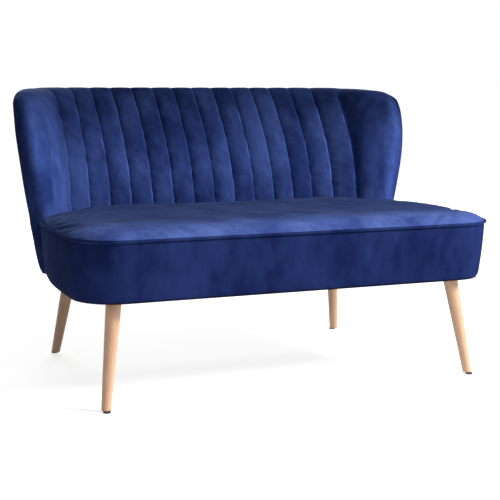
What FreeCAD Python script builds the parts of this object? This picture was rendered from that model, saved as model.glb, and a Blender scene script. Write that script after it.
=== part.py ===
"""Two-seat sofa with a channelled, winged back and four splayed wooden legs.

Millimetres, +Z up, the front of the sofa faces -Y.  The origin lies on the floor, under the middle
of the whole sofa.  The sofa is symmetric about the YZ plane.
"""
import FreeCAD, Part
import math
import os

V = FreeCAD.Vector

# ---- Driving dimensions -----------------------------------------------------------------------
overall_depth = 800.0          # front of the piping to the rear of the back
overall_height = 764.0         # floor to the crest of the back
back_half_width = 603.0        # centre to the widest point of a wing
seat_height = 420.0            # floor to the piping round the seat
base_height = 268.0            # floor to the underside of the upholstered base
seat_inset = 6.5               # widest point of a wing to the widest point of the seat
seat_crown = 19.6              # how far the middle of the seat stands above the piping

# Seat
seat_corner_radius = 120.0     # front corners, in plan
side_taper = 0.085             # how far each side closes in per mm towards the rear
border_slope = 13.0            # how far the foot of the border is set in
border_lap = 25.0              # how far the border runs past the front of the wing
fabric = 1.6                   # velvet with its backing
piping_radius = 4.0
piping_gap = 0.2               # between the piping and the covers beside it
foam_edge_inset = 3.0          # the crowned cover's edge to the foam's
ease = 0.3                     # clearance between neighbouring soft pieces

# Seat frame
rail_thickness = 25.0
rail_height = 90.0
front_rail_inset = 27.0        # front of the border to the front rail
frame_corner_radius = 90.0
former_lap = 4.0               # how far a corner former runs past its curve
side_rail_front_inset = 44.2   # border to side rail at the front tangent
side_rail_toe = 0.172          # how far each side rail closes in per mm towards the rear
stretcher_height = 70.0
leg_block_height = 35.0
leg_block_reach = 95.0

# Springs
spring_count = 8
spring_wire_radius = 1.9
spring_pitch = 26.0
spring_half_width = 23.0
spring_bend_share = 0.46       # radius of each bend, as a share of the pitch
clip_sheet = 1.2
clip_width = 24.0
clip_reach = (3.0, 1.4)        # how far a clip runs ahead of and behind the spring's end bar
clip_play = 0.1                # between the bar and its clip
felt_thickness = 4.0
felt_inset = 6.0

# Back
back_face_depth = 218.0        # rear of the back to its inner face at seat height
lean_linear = 47.0             # the inner face leans back by lean_linear * t + lean_curve * t * t,
lean_curve = 141.0             # where t runs from 0 at seat height to 1 at the crest
rear_rake = 64.0               # how far the rear face rakes back per unit of t
wing_depth = 300.0             # rear of the back to the front of the wings
wing_round_back = 128.0        # how strongly the wing front curves back towards the crest
wing_sweep_start = 0.3         # t above which the wing front curves back
wing_flare = 33.5              # how much wider the wings are at the top than at the seat
wing_flare_curve = 1.4         # exponent of that flare
wing_widest = 0.70             # t above which the wings stay at their full width
wing_foot_taper = 125.0        # how the wings close in below the seat, with t * t
wing_edge_radius = 42.0        # the wing's rounded front edge, just above the seat
wing_edge_thinning = 14.0      # how much sharper that edge is at the crest
wing_inner_angle = 30.0        # the wing's inner face to the width of the sofa, at seat height
wing_inner_turn = (8.0, 16.0)  # what is added to that angle, with t and with t * t
wing_outer_angle = 105.0       # the same for the outer face
wing_outer_turn = 5.0
roll_width = 19.0              # how far the crest rounds in on each side
roll_height = 24.0
lower_wall = 40.0              # thickness of the back's wall beside the seat frame
lower_wall_depth = 125.0       # rear of the back to the inner face of that wall
lower_inner_angle = 75.0       # that wall's inner face at its front edge
lower_hollow_radius = 80.0
wall_step = 12.0               # top of the seat frame to the top of that wall
wall_blend = 40.0              # height over which the wall swells to its full depth
back_corner_radius = 150.0     # rear corners, in plan
back_hollow_radius = 300.0     # inner corners, in plan
channel_count = 14
wing_width = 153.0             # widest point of a wing to the last channel's seam
panel_insets = (123.0, 208.0, 353.0)   # widest point of a wing to the joins in the filling
pad_thickness = 26.0
wadding = 6.0
post_depth = 28.0
post_width = 40.0
outer_post_inset = 238.0       # widest point of a wing to the middle of the outer post
inner_post_share = 0.38        # place of the inner post between the middle and the outer post
top_rail_height = 18.0
top_rail_drop = 64.0           # crest to the underside of the top rail
wing_post_size = 24.0
webbing_rows = 4
webbing_height = 50.0
webbing_thickness = 1.5
smallest_piece = 500.0         # cut-off slivers of filling below this volume are left out

# Legs
front_foot_inset = (72.5, 25.0)    # widest point and front of the seat to the foot's centre
rear_foot_inset = (145.0, 101.0)   # widest point and rear of the back to the foot's centre
leg_splay_x = 0.140            # how far the leg closes in sideways per mm of height
leg_splay_y = 0.208            # the same, front to rear
leg_top_radius = 20.0
leg_foot_radius = 12.0
leg_edge_round = 1.2
pad_radius = 9.6
pad_height = 4.5
pad_edge_round = 0.8
nail_radius = 1.2
nail_head_radius = 3.2
nail_head_z = (1.0, 2.0)       # underside and top of the nail's head, in the pad's recess
nail_length = 18.0

# Fasteners
bolt_radius = 3.95             # M8
hole_radius = 4.0
hanger_bolt_depth = 38.0       # into the leg
tee_barrel_radius = 4.9
tee_barrel_length = 11.0
tee_flange_radius = 11.0
tee_flange_thickness = 1.6
washer_radius = 9.0
washer_thickness = 1.6
bolt_head_radius = 7.5
bolt_head_height = 5.3
back_bolt_shares = (0.33, 0.82)    # places of the bolts between the middle and the outer post
nut_depth = 19.0               # front face of the bottom rail to the tee nuts' flanges
nut_room = 0.5                 # clearance round a tee nut's flange

dust_cover_thickness = 1.0
dust_cover_inset = 3.0
dust_hole_room = 0.5

far = 900.0                    # beyond every piece
over = 20.0                    # how far a cutting block runs past what it cuts
touch = 0.05                   # least clearance of a part that rests on another

# ---- Derived sizes ------------------------------------------------------------------------------
piping_stand = 3.0                                     # how far the piping stands out
front_y = -overall_depth / 2 + piping_stand            # front face of the border at the piping
rear_y = overall_depth / 2
seat_half_width = back_half_width - seat_inset
wing_front_y = rear_y - wing_depth
back_face_y = rear_y - back_face_depth
lower_inner_y = rear_y - lower_wall_depth
border_end_y = wing_front_y + border_lap
channel_pitch = 2 * (back_half_width - wing_width) / channel_count
outer_post_x = back_half_width - outer_post_inset
inner_post_x = outer_post_x * inner_post_share
back_bolt_x = [outer_post_x * share for share in back_bolt_shares]
front_foot = (seat_half_width - front_foot_inset[0], front_y + front_foot_inset[1])
rear_foot = (back_half_width - rear_foot_inset[0], rear_y - rear_foot_inset[1])
back_rise = overall_height - seat_height
roll_start = overall_height - roll_height
rail_top = base_height + rail_height
wall_top = rail_top + wall_step                        # top of the thin wall beside the frame
pad_foot = wall_top + wall_blend                       # where the inner face reaches its full depth
clip_z = rail_top + clip_sheet
spring_z = clip_z + spring_wire_radius + touch
felt_z = spring_z + spring_wire_radius + clip_sheet + clip_play
foam_z = felt_z + felt_thickness + 4 * touch
top_rail_z = overall_height - top_rail_drop
rail_front_y = front_y + front_rail_inset
rear_rail_y = lower_inner_y + fabric + wadding + ease  # rear face of the seat's rear rail

os.makedirs("parts", exist_ok=True)


# ---- Helpers ------------------------------------------------------------------------------------
def save(name, shape):
    """Write one sub-part."""
    shape.exportStep("parts/" + name + ".step")


def solids(shape, keep=None):
    """The shape's solids as one compound, largest first; keep limits how many."""
    found = sorted(shape.Solids, key=lambda solid: -solid.Volume)[:keep]
    return found[0] if len(found) == 1 else Part.makeCompound(found)


def mirrored(shape):
    """The same piece on the other side of the sofa."""
    return shape.mirror(V(0, 0, 0), V(1, 0, 0))


def both_sides(shape):
    return Part.makeCompound([shape, mirrored(shape)])


def box(x0, x1, y0, y1, z0, z1):
    return Part.makeBox(x1 - x0, y1 - y0, z1 - z0, V(x0, y0, z0))


def corner(before, point, after, radius):
    """Start, middle and end of the arc that rounds a corner of an outline."""
    to_before = (before - point).normalize()
    to_after = (after - point).normalize()
    half_angle = to_before.getAngle(to_after) / 2
    reach = radius / math.tan(half_angle)
    centre = point + (to_before + to_after).normalize() * (radius / math.sin(half_angle))
    middle = centre + (point - centre).normalize() * radius
    return point + to_before * reach, middle, point + to_after * reach


def outline(points, radii, z):
    """A closed wire through flat (x, y) points, each corner rounded by its radius (0 is sharp)."""
    places = [V(x, y, z) for x, y in points]
    count = len(places)
    joints = []
    for i, place in enumerate(places):
        if radii[i]:
            joints.append(corner(places[i - 1], place, places[(i + 1) % count], radii[i]))
        else:
            joints.append((place, None, place))
    edges = []
    for i, (start, middle, end) in enumerate(joints):
        if middle:
            edges.append(Part.Arc(start, middle, end).toShape())
        edges.append(Part.LineSegment(end, joints[(i + 1) % count][0]).toShape())
    return Part.Wire(edges)


def prism(wire, height):
    return Part.Face(wire).extrude(V(0, 0, height))


def loft(wires):
    return Part.makeLoft(wires, True, True)


def symmetric(points):
    """A right-hand half outline, front to rear, closed by its mirror image."""
    return points + [(-x, y) for x, y in reversed(points)]


# ---- Seat outlines --------------------------------------------------------------------------------
def border_half_width(y):
    """Half width of the seat at piping height."""
    tangent_y = front_y + seat_corner_radius
    return seat_half_width - side_taper * (y - tangent_y)


def seat_outline(inset, z, end_y=border_end_y):
    """Plan of the seat at a height, inside its border by inset, open to end_y at the rear."""
    drop = max(0.0, seat_height - z) / (seat_height - base_height)
    inset = inset + border_slope * drop
    y = front_y + inset
    half = symmetric([(border_half_width(y) - inset, y), (border_half_width(end_y) - inset, end_y)])
    radius = seat_corner_radius - inset
    return outline(half, [radius, 0, 0, radius], z)


def seat_body(levels, end_y=border_end_y):
    """A solid through seat outlines given as (height, inset)."""
    return loft([seat_outline(inset, z, end_y) for z, inset in levels])


def frame_half_width(y):
    """Outer face of the side rails."""
    tangent_y = rail_front_y + frame_corner_radius
    return border_half_width(tangent_y) - side_rail_front_inset - side_rail_toe * (y - tangent_y)


def frame_outline(inset, z):
    """Plan of the seat frame, inside its outer face by inset."""
    across = inset * math.hypot(1, side_rail_toe)
    y0 = rail_front_y + inset
    y1 = rear_rail_y - inset
    radius = frame_corner_radius - inset
    half = symmetric([(frame_half_width(y0) - across, y0), (frame_half_width(y1) - across, y1)])
    return outline(half, [radius, 0, 0, radius], z)


# ---- Back sections --------------------------------------------------------------------------------
def rise(z):
    """0 at seat height, 1 at the crest, negative beside the seat frame."""
    return (z - seat_height) / back_rise


def wing_extent(z):
    """Half width of the back at a height: it flares out towards the top."""
    t = rise(z)
    if t < 0:
        return back_half_width - wing_flare - wing_foot_taper * t * t
    return back_half_width - wing_flare * max(0.0, 1 - t / wing_widest) ** wing_flare_curve


def outer_face_y(z):
    """Rear face of the back."""
    return rear_y - rear_rake * (rise(roll_start) - min(rise(z), rise(roll_start)))


def inner_face_y(z):
    """Front face of the back, in the middle."""
    t = rise(z)
    return back_face_y + lean_linear * t + lean_curve * t * t


def wing_section(z, inset, low):
    """Centre and radius of the wing's rounded front edge, and the headings of its two faces."""
    t = rise(z)
    if low:
        radius = lower_wall / 2
        front = wing_front_y
        inner_heading = -lower_inner_angle
        outer_heading = wing_outer_angle
    else:
        radius = wing_edge_radius - wing_edge_thinning * t * t
        front = wing_front_y + wing_round_back * max(0.0, t - wing_sweep_start) ** 2
        inner_heading = -(wing_inner_angle + wing_inner_turn[0] * t + wing_inner_turn[1] * t * t)
        outer_heading = wing_outer_angle + wing_outer_turn * t
    centre = V(wing_extent(z) - radius, front + radius, z)
    return centre, radius - inset, math.radians(inner_heading), math.radians(outer_heading)


def heading(angle):
    return V(math.cos(angle), math.sin(angle), 0)


def meet(point, direction, y):
    """Where a line through point crosses a given y."""
    return point + direction * ((y - point.y) / direction.y)


def back_half(z, inset, low):
    """Points of the right-hand half of a back section: inner face, wing edge, outer face."""
    centre, radius, inner, outer = wing_section(z, inset, low)
    inner_y = (lower_inner_y if low else inner_face_y(z)) + inset
    outer_y = outer_face_y(z) - inset
    wing_in = centre + heading(inner - math.pi / 2) * radius
    wing_tip = centre + heading((inner + outer) / 2 - math.pi / 2) * radius
    wing_out = centre + heading(outer - math.pi / 2) * radius
    hollow = meet(wing_in, heading(inner), inner_y)
    rear = meet(wing_out, heading(outer), outer_y)
    hollow_radius = (lower_hollow_radius if low else back_hollow_radius) + inset
    inner_arc = corner(V(0, inner_y, z), hollow, wing_in, hollow_radius)
    outer_arc = corner(wing_out, rear, V(0, outer_y, z), back_corner_radius - inset)
    return inner_arc, (wing_in, wing_tip, wing_out), outer_arc


def flip(point):
    return V(-point.x, point.y, point.z)


def back_section(z, inset, low=False):
    """The C-shaped plan of the back at a height, inside its covers by inset."""
    arcs = back_half(z, inset, low)
    path = list(arcs) + [tuple(flip(p) for p in reversed(arc)) for arc in reversed(arcs)]
    edges = []
    for i, (start, middle, end) in enumerate(path):
        edges.append(Part.Arc(start, middle, end).toShape())
        edges.append(Part.LineSegment(end, path[(i + 1) % len(path)][0]).toShape())
    return Part.Wire(edges)


def back_levels(inset, foot):
    """Heights and insets through the back, from foot up over the rounded crest."""
    levels = [(foot, inset, True), (wall_top, inset, True)]
    spans = 5
    for step in range(spans + 1):
        z = pad_foot + (roll_start - pad_foot) * step / spans
        levels.append((z, inset, False))
    crest_angle = math.radians(75)
    for share in (0.4, 0.7, 1.0):
        angle = crest_angle * share
        z = roll_start + (roll_height - inset) * math.sin(angle) / math.sin(crest_angle)
        levels.append((z, inset + (roll_width - inset) * (1 - math.cos(angle)), False))
    return levels


def back_body(inset, foot=base_height):
    """The whole back as one closed block, inside its covers by inset."""
    return loft([back_section(z, inside, low) for z, inside, low in back_levels(inset, foot)])


def front_zone(depth):
    """Everything in front of a face that follows the inner face at a depth inside the wall."""
    wires = []
    for z, _, low in back_levels(0.0, base_height - over):
        inner_arc, wing, _ = back_half(z, depth, low)
        ahead = wing[0] + (wing[0] - inner_arc[2]).normalize() * (far / 2)
        start, middle, end = inner_arc
        path = [end, ahead, V(ahead.x, -far, z)]
        edges = [Part.Arc(start, middle, end).toShape()]
        edges += [Part.LineSegment(a, b).toShape() for a, b in zip(path, path[1:])]
        edges.append(Part.LineSegment(path[-1], flip(path[-1])).toShape())
        left = [flip(p) for p in reversed(path)]
        edges += [Part.LineSegment(a, b).toShape() for a, b in zip(left, left[1:])]
        edges.append(Part.Arc(flip(end), flip(middle), flip(start)).toShape())
        edges.append(Part.LineSegment(flip(start), start).toShape())
        wires.append(Part.Wire(edges))
    top = wires[-1].copy()
    top.translate(V(0, 0, over))
    return loft(wires + [top])


def sliced(shape, cuts):
    """The shape cut into separate solids by upright planes across the sofa."""
    edges = [-far] + list(cuts) + [far]
    pieces = []
    for left, right in zip(edges, edges[1:]):
        slab = box(left + ease / 2, right - ease / 2, -far, far, 0, far)
        pieces += shape.common(slab).Solids
    return Part.makeCompound([piece for piece in pieces if piece.Volume > smallest_piece])


# ---- Shared blocks ------------------------------------------------------------------------------
above_base = box(-far, far, -far, far, base_height, far)
back_clear = back_body(-ease, base_height - 1)         # the back with the clearance round it
back_outside = back_body(0.0)
back_lining = back_body(fabric, base_height - 1)
back_filling = back_body(fabric + ease, base_height - 1).common(above_base)
back_core = back_body(fabric + wadding + ease, base_height - 1).common(above_base)
pad_zone = front_zone(pad_thickness)
pad_zone_clear = front_zone(pad_thickness + ease)
above_wall = box(-far, far, -far, far, wall_top + ease, far)
above_rail = box(-far, far, -far, far, top_rail_z + top_rail_height + ease, far)
below_rail = box(-far, far, -far, far, 0, top_rail_z + top_rail_height)


def leg_centre(foot, z):
    """Middle of a leg at a height; every leg leans in towards the middle of the sofa."""
    lean = -math.copysign(leg_splay_y * z, foot[1])
    return V(foot[0] - leg_splay_x * z, foot[1] + lean, z)


leg_top_z = base_height - dust_cover_thickness
corners = {"front": front_foot, "rear": rear_foot}
bolt_spots = [leg_centre(foot, leg_top_z) for foot in corners.values()]


def upright(spot, radius, z0, z1):
    """An upright round bar or hole."""
    return Part.makeCylinder(radius, z1 - z0, V(spot.x, spot.y, z0))


def lengthwise(x, z, radius, y0, y1):
    """A round bar or hole that runs from front to rear."""
    return Part.makeCylinder(radius, y1 - y0, V(x, y0, z), V(0, 1, 0))


# ---- Legs ---------------------------------------------------------------------------------------
def leg(foot):
    """A tapered turned leg, cut level at both ends, with a hole for its bolt and its glide's nail."""
    low = leg_centre(foot, -over)
    high = leg_centre(foot, leg_top_z + over)
    axis = high - low
    taper = (leg_top_radius - leg_foot_radius) / (leg_top_z - pad_height)
    low_radius = leg_foot_radius - taper * (pad_height + over)
    high_radius = leg_top_radius + taper * over
    cone = Part.makeCone(low_radius, high_radius, axis.Length, low, axis)
    shape = cone.common(box(-far, far, -far, far, pad_height, leg_top_z))
    rim = [edge for edge in shape.Edges if edge.BoundBox.ZMax < pad_height + touch]
    shape = shape.makeFillet(leg_edge_round, rim)
    shape = shape.cut(upright(leg_centre(foot, leg_top_z), hole_radius,
                              leg_top_z - hanger_bolt_depth, leg_top_z))
    return shape.cut(upright(V(*foot, 0), nail_radius, 0, nail_length))


def foot_pad(foot):
    """A black glide under the leg, recessed for the head of its nail."""
    pad = upright(V(*foot, 0), pad_radius, 0, pad_height)
    rim = [edge for edge in pad.Edges if edge.BoundBox.ZMax < touch]
    pad = pad.makeFillet(pad_edge_round, rim)
    head = upright(V(*foot, 0), nail_head_radius, 0, nail_head_z[1])
    return pad.cut(head).cut(upright(V(*foot, 0), nail_radius, 0, pad_height))


def pad_nail(foot):
    shank = upright(V(*foot, 0), nail_radius, nail_head_z[0], nail_length)
    return shank.fuse(upright(V(*foot, 0), nail_head_radius, *nail_head_z)).removeSplitter()


def hanger_bolt(spot):
    """Screwed into the top of a leg and up through the leg block."""
    return upright(spot, bolt_radius, leg_top_z - hanger_bolt_depth, base_height + leg_block_height)


def tee_nut(spot):
    """Pressed into the leg block from above."""
    top = base_height + leg_block_height
    barrel = upright(spot, tee_barrel_radius, top - tee_barrel_length, top)
    flange = upright(spot, tee_flange_radius, top, top + tee_flange_thickness)
    bore = upright(spot, hole_radius, top - tee_barrel_length, top + tee_flange_thickness)
    return barrel.fuse(flange).cut(bore).removeSplitter()


for place, foot in corners.items():
    right_leg = leg(foot)
    save("leg_" + place + "_right", right_leg)
    save("leg_" + place + "_left", mirrored(right_leg))

save("foot_pads", Part.makeCompound([both_sides(foot_pad(foot)) for foot in corners.values()]))
save("foot_pad_nails", Part.makeCompound([both_sides(pad_nail(foot)) for foot in corners.values()]))
save("leg_hanger_bolts", Part.makeCompound([both_sides(hanger_bolt(spot)) for spot in bolt_spots]))
save("leg_tee_nuts", Part.makeCompound([both_sides(tee_nut(spot)) for spot in bolt_spots]))


# ---- Seat frame ---------------------------------------------------------------------------------
def nut_pocket(spot):
    """The room that a leg's tee nut needs above its block."""
    top = base_height + leg_block_height
    return upright(spot, tee_flange_radius + nut_room, top, top + tee_flange_thickness + nut_room)


ring = prism(frame_outline(0, base_height), rail_height)
ring = ring.cut(prism(frame_outline(rail_thickness, base_height), rail_height)).cut(back_core)
inside_ring = prism(frame_outline(rail_thickness, base_height), rail_height)
former_x = frame_half_width(rail_front_y) - frame_corner_radius - former_lap
former_y = rail_front_y + frame_corner_radius + former_lap
rear_rail_front_y = rear_rail_y - rail_thickness
bolt_line_z = base_height + rail_height / 2
bolt_holes = Part.makeCompound(
    [lengthwise(side * x, bolt_line_z, hole_radius, rear_rail_front_y - over, rear_y)
     for x in back_bolt_x for side in (-1, 1)])

front_rail = ring.common(box(-former_x, former_x, -far, former_y, 0, far))
side_rail = ring.common(box(0, far, former_y, rear_rail_front_y, 0, far))
corner_former = ring.common(box(former_x, far, -far, former_y, 0, far))
nut_pockets = [both_sides(nut_pocket(spot)) for spot in bolt_spots]
rear_rail = ring.common(box(-far, far, rear_rail_front_y, far, 0, far)).cut(bolt_holes)
rear_rail = rear_rail.cut(nut_pockets)
save("seat_front_rail", solids(front_rail))
save("seat_rear_rail", solids(rear_rail, 1))
save("seat_side_rail_right", solids(side_rail))
save("seat_side_rail_left", mirrored(solids(side_rail)))
save("seat_corner_former_right", solids(corner_former))
save("seat_corner_former_left", mirrored(solids(corner_former)))

stretcher = box(-rail_thickness / 2, rail_thickness / 2, rail_front_y + rail_thickness,
                rear_rail_front_y, base_height, base_height + stretcher_height)
save("seat_stretcher", stretcher)


def leg_block(spot):
    """A block glued into a corner of the frame, bored for the leg bolt and its tee nut."""
    front = spot.y < 0
    y0 = rail_front_y if front else rear_rail_front_y - leg_block_reach
    y1 = spot.y + leg_block_reach / 2 if front else rear_rail_front_y
    top = base_height + leg_block_height
    block = box(spot.x - leg_block_reach / 2, far, y0, y1, base_height, top).common(inside_ring)
    return block.cut(upright(spot, tee_barrel_radius + touch, base_height, top))


for place, spot in zip(corners, bolt_spots):
    block = solids(leg_block(spot))
    save("leg_block_" + place + "_right", block)
    save("leg_block_" + place + "_left", mirrored(block))


# ---- Springs ------------------------------------------------------------------------------------
spring_front_y = rail_front_y + rail_thickness / 2
spring_rear_y = rear_rail_front_y + rail_thickness / 2


def zigzag_spring(x):
    """One sinuous spring from the front rail to the rear rail, with a straight bar at each end."""
    loops = 2 * int((spring_rear_y - spring_front_y) / spring_pitch / 2) + 1
    pitch = (spring_rear_y - spring_front_y) / loops
    points = []
    for i in range(loops + 1):
        side = 1 if i % 2 else -1
        y = spring_front_y + i * pitch
        points.append(V(x - side * spring_half_width, y, spring_z))
        points.append(V(x + side * spring_half_width, y, spring_z))
    edges = []
    last = points[0]
    for i in range(1, len(points) - 1):
        start, middle, end = corner(points[i - 1], points[i], points[i + 1], pitch * spring_bend_share)
        edges.append(Part.LineSegment(last, start).toShape())
        edges.append(Part.Arc(start, middle, end).toShape())
        last = end
    edges.append(Part.LineSegment(last, points[-1]).toShape())
    ring_wire = Part.Wire(Part.makeCircle(spring_wire_radius, points[0], V(1, 0, 0)))
    return Part.Wire(edges).makePipeShell([ring_wire], True, False)


def spring_clip(x, y):
    """A bent steel clip nailed to a rail, folded over the end bar of a spring."""
    height = 2 * spring_wire_radius + clip_play
    front = y - 2 * spring_wire_radius - clip_reach[0]
    outer = box(x - clip_width / 2, x + clip_width / 2, front,
                y + spring_wire_radius + clip_reach[1], rail_top, clip_z + height + clip_sheet)
    slot = box(x - clip_width, x + clip_width, front - over,
               y + spring_wire_radius + 2 * clip_play, clip_z, clip_z + height)
    return outer.cut(slot)


spring_reach = frame_half_width(rear_rail_y) - rail_thickness - 2 * spring_half_width
spring_xs = [spring_reach * (2 * i / (spring_count - 1) - 1) for i in range(spring_count)]
save("zigzag_springs", Part.makeCompound([zigzag_spring(x) for x in spring_xs]))
save("spring_clips", Part.makeCompound(
    [spring_clip(x, y) for x in spring_xs for y in (spring_front_y, spring_rear_y)]))


# ---- Seat upholstery ----------------------------------------------------------------------------
fill = fabric + ease
felt = prism(frame_outline(felt_inset, felt_z), felt_thickness).cut(back_clear)
save("spring_felt", solids(felt, 1))

border_filling = seat_body([(base_height, fill), (felt_z, fill)])
border_filling = border_filling.cut(prism(frame_outline(-ease, base_height), far))
save("seat_border_padding", solids(border_filling.cut(back_clear), 1))

shoulder = seat_height + piping_radius + piping_gap
crown_steps = ((0.0, 1.0), (0.5, 13.0), (0.85, 36.0), (1.0, 78.0))    # share of crown, inset
dome = [(shoulder + share * (seat_crown - piping_radius), inset) for share, inset in crown_steps]
tuck = piping_radius + 2.0
foam_levels = [(foam_z, fill), (seat_height - tuck, fill),
               (seat_height - piping_radius, tuck)]
foam_levels += [(z - (fill if i else 0.0), inset + fill + foam_edge_inset)
                for i, (z, inset) in enumerate(dome)]
foam = seat_body(foam_levels, lower_inner_y).cut(back_clear)
save("seat_foam", solids(foam, 1))

cover_outside = seat_body(dome, lower_inner_y)
cover_inside = [(shoulder - 1, dome[0][1] + fabric)]
cover_inside += [(z - fabric, inset + fabric) for z, inset in dome[1:]]
seat_cover = cover_outside.cut(seat_body(cover_inside, lower_inner_y + 1)).cut(back_clear)
save("seat_cover", solids(seat_cover, 1))

border_top = seat_height - piping_radius - piping_gap
border = seat_body([(base_height, 0), (border_top, 0)])
border_inside = [(base_height - 1, fabric), (border_top + 1, fabric)]
border = border.cut(seat_body(border_inside, border_end_y + 1)).cut(back_clear)
save("seat_border_cover", solids(border, 1))


def piping_path():
    """Middle of the piping, from one wing round the front of the seat to the other."""
    inset = piping_radius - piping_stand
    edges = seat_outline(inset, seat_height).Edges
    return Part.Wire([edge for edge in edges if edge.BoundBox.YMin < border_end_y - 1])


path = piping_path()
start = path.OrderedVertexes[0].Point
run = (path.OrderedVertexes[1].Point - start)
ring_wire = Part.Wire(Part.makeCircle(piping_radius, start, run))
piping = path.makePipeShell([ring_wire], True, False).cut(back_clear)
save("seat_piping", solids(piping, 1))


def dust_cover():
    """The black cloth under the base, bored for the four leg bolts."""
    inset = border_slope + dust_cover_inset
    y0 = front_y + inset
    side_y = wing_front_y + dust_cover_inset
    arc = back_half(base_height, dust_cover_inset, True)[2]
    rear = meet(V(wing_extent(base_height) - dust_cover_inset, wing_front_y + lower_wall / 2, 0),
                heading(math.radians(wing_outer_angle)), arc[2].y)
    half = symmetric([(border_half_width(y0) - inset, y0),
                      (border_half_width(side_y) - inset, side_y), (rear.x, rear.y)])
    radius = seat_corner_radius - inset
    rear_radius = back_corner_radius - dust_cover_inset
    wire = outline(half, [radius, 0, rear_radius, rear_radius, 0, radius], leg_top_z)
    sheet = prism(wire, dust_cover_thickness)
    for spot in bolt_spots:
        sheet = sheet.cut(both_sides(upright(spot, hole_radius + dust_hole_room, 0, far)))
    return sheet


save("dust_cover", solids(dust_cover()))


# ---- Back frame ---------------------------------------------------------------------------------
def wing_post_section(z, low):
    centre, _, _, _ = wing_section(z, 0, low)
    half = wing_post_size / 2
    return outline([(centre.x - half, centre.y - half), (centre.x + half, centre.y - half),
                    (centre.x + half, centre.y + half), (centre.x - half, centre.y + half)],
                   [0, 0, 0, 0], z)


wing_post_block = loft([wing_post_section(base_height, True), wing_post_section(rail_top, True),
                        wing_post_section(top_rail_z, False)])
wing_post = solids(wing_post_block.common(back_core).cut(pad_zone_clear.common(above_wall)), 1)
save("wing_post_right", wing_post)
save("wing_post_left", mirrored(wing_post))

rail_slab = box(-far, far, wing_front_y + lower_wall / 2 + wing_post_size / 2, far,
                base_height, rail_top)
bottom_rail = back_core.common(rail_slab).cut(bolt_holes)


def back_bolt(x):
    """Hex bolt from inside the seat frame through both rails."""
    face = rear_rail_front_y
    head_y = face - washer_thickness - bolt_head_height
    corners_xz = [V(x + bolt_head_radius * math.cos(math.radians(a)), head_y,
                    bolt_line_z + bolt_head_radius * math.sin(math.radians(a)))
                  for a in range(0, 360, 60)]
    head = Part.Face(Part.makePolygon(corners_xz + corners_xz[:1])).extrude(
        V(0, bolt_head_height, 0))
    shank = lengthwise(x, bolt_line_z, bolt_radius, head_y, back_nut_y + tee_flange_thickness)
    return head.fuse(shank).removeSplitter()


def back_washer(x):
    ring_y = rear_rail_front_y - washer_thickness
    disc = lengthwise(x, bolt_line_z, washer_radius, ring_y, rear_rail_front_y)
    return disc.cut(lengthwise(x, bolt_line_z, hole_radius, ring_y - 1, rear_rail_front_y + 1))


def back_tee_nut(x, bore):
    """Tee nut sunk into the rear of the bottom rail; bore 0 gives the room that it needs."""
    barrel = lengthwise(x, bolt_line_z, tee_barrel_radius, back_nut_y - tee_barrel_length, back_nut_y)
    reach = tee_flange_thickness if bore else over
    flange = lengthwise(x, bolt_line_z, tee_flange_radius, back_nut_y, back_nut_y + reach)
    nut = barrel.fuse(flange)
    if bore:
        hole = lengthwise(x, bolt_line_z, bore, back_nut_y - over, back_nut_y + over)
        nut = nut.cut(hole).removeSplitter()
    return nut


back_nut_y = rear_rail_y + nut_depth
bolt_xs = [side * x for x in back_bolt_x for side in (-1, 1)]
for x in bolt_xs:
    bottom_rail = bottom_rail.cut(back_tee_nut(x, 0))
save("back_bottom_rail", solids(bottom_rail))
save("back_bolts", Part.makeCompound([back_bolt(x) for x in bolt_xs]))
save("back_bolt_washers", Part.makeCompound([back_washer(x) for x in bolt_xs]))
save("back_tee_nuts", Part.makeCompound([back_tee_nut(x, hole_radius) for x in bolt_xs]))

top_slab = box(-far, far, -far, far, top_rail_z, top_rail_z + top_rail_height)
top_rail = back_core.common(top_slab).cut(pad_zone_clear)
save("back_top_rail", solids(top_rail, 1))


def post_rear_y(z):
    """Rear face of the upright posts, just inside the wadding."""
    return outer_face_y(z) - fabric - wadding - ease


def slanted(z0, z1, ahead, thickness, x0, x1):
    """A board that leans with the rear of the back, its rear face ahead of the posts' by ahead."""
    corners_yz = [(post_rear_y(z0) - ahead, z0), (post_rear_y(z0) - ahead - thickness, z0),
                  (post_rear_y(z1) - ahead - thickness, z1), (post_rear_y(z1) - ahead, z1)]
    points = [V(x0, y, z) for y, z in corners_yz]
    return Part.Face(Part.makePolygon(points + points[:1])).extrude(V(x1 - x0, 0, 0))


def back_post(x):
    return slanted(rail_top, top_rail_z, 0.0, post_depth, x - post_width / 2, x + post_width / 2)


for name, x in (("inner", inner_post_x), ("outer", outer_post_x)):
    save("back_" + name + "_post_right", back_post(x))
    save("back_" + name + "_post_left", mirrored(back_post(x)))

webbing_reach = outer_post_x + post_width / 2
webbing_gap = (top_rail_z - pad_foot - webbing_height) / webbing_rows
webbing = []
for row in range(webbing_rows):
    z = pad_foot + row * webbing_gap
    webbing.append(slanted(z, z + webbing_height, post_depth, webbing_thickness,
                           -webbing_reach, webbing_reach))
save("back_webbing", Part.makeCompound(webbing))


# ---- Back upholstery ----------------------------------------------------------------------------
channel_edges = [channel_pitch * (i - channel_count / 2) for i in range(channel_count + 1)]
webbing_front = post_depth + webbing_thickness + ease
foam_front = slanted(rail_top - over, top_rail_z + over, webbing_front, far, -far, far)
post_zone = slanted(rail_top - over, pad_foot + 2 * over, -over, webbing_front + over, -far, far)
padding = back_filling.common(pad_zone).common(above_wall).cut(post_zone)
padding = sliced(padding, channel_edges)
channels = [piece for piece in padding.Solids
            if abs(piece.CenterOfMass.x) < channel_edges[-1]]
wing_pad = max(padding.Solids, key=lambda piece: piece.CenterOfMass.x)
save("back_channel_pads", Part.makeCompound(channels))
save("wing_pad_right", wing_pad)
save("wing_pad_left", mirrored(wing_pad))

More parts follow.
